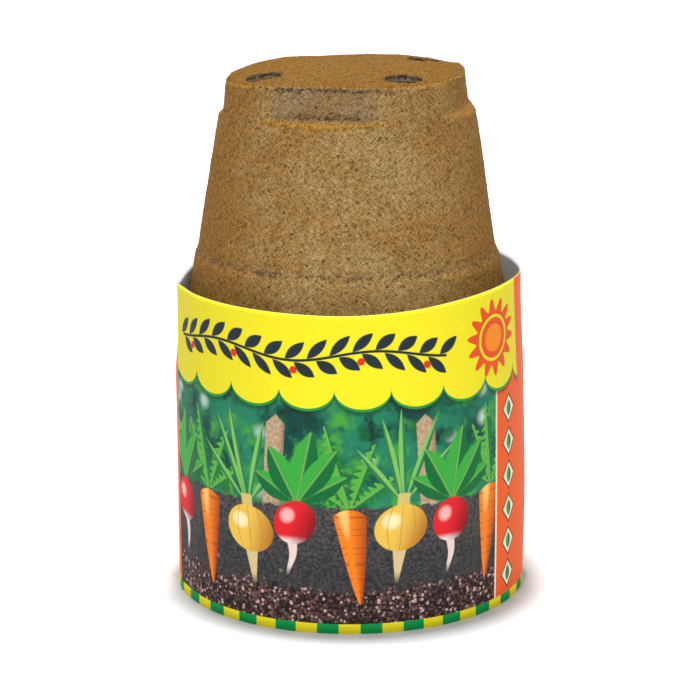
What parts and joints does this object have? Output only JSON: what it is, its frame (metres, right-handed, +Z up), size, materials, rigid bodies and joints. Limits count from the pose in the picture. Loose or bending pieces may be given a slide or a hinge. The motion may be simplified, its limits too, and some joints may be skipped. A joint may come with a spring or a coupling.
{
  "type": "peat pot pack",
  "caption": "Round peat pots nested mouth down in a stack, with panelled feet and drain holes, held together by a printed card sleeve with a glued overlap.",
  "frame": {"origin": "on the floor, under the middle of the stack", "axes": "+Z up through the stack, -Y to the front of the printed sleeve, +X to its right"},
  "size_m": [0.1289, 0.1294, 0.1927],
  "materials": {
    "peat": "matt felted peat and wood fibre, with dark specks",
    "card": "thin printed card with a satin print outside, grey board inside",
    "glue": "dried paper glue"
  },
  "bodies": {
    "peat_pot_1": {"peat_pot_1": "peat"},
    "peat_pot_2": {"peat_pot_2": "peat"},
    "peat_pot_3": {"peat_pot_3": "peat"},
    "peat_pot_4": {"peat_pot_4": "peat"},
    "peat_pot_5": {"peat_pot_5": "peat"},
    "peat_pot_6": {"peat_pot_6": "peat"},
    "sleeve": {"card_sleeve": "card", "seam_glue": "glue"}
  },
  "joints": [
    {"name": "peat_pot_2_lift", "type": "slide", "parent": "peat_pot_1", "child": "peat_pot_2", "axis": [0, 0, 1], "range_m": [0, 0.102]},
    {"name": "peat_pot_3_lift", "type": "slide", "parent": "peat_pot_2", "child": "peat_pot_3", "axis": [0, 0, 1], "range_m": [0, 0.102]},
    {"name": "peat_pot_4_lift", "type": "slide", "parent": "peat_pot_3", "child": "peat_pot_4", "axis": [0, 0, 1], "range_m": [0, 0.102]},
    {"name": "peat_pot_5_lift", "type": "slide", "parent": "peat_pot_4", "child": "peat_pot_5", "axis": [0, 0, 1], "range_m": [0, 0.102]},
    {"name": "peat_pot_6_lift", "type": "slide", "parent": "peat_pot_5", "child": "peat_pot_6", "axis": [0, 0, 1], "range_m": [0, 0.102]},
    {"name": "sleeve_lift", "type": "slide", "parent": "peat_pot_1", "child": "sleeve", "axis": [0, 0, 1], "range_m": [0, 0.196]}
  ]
}
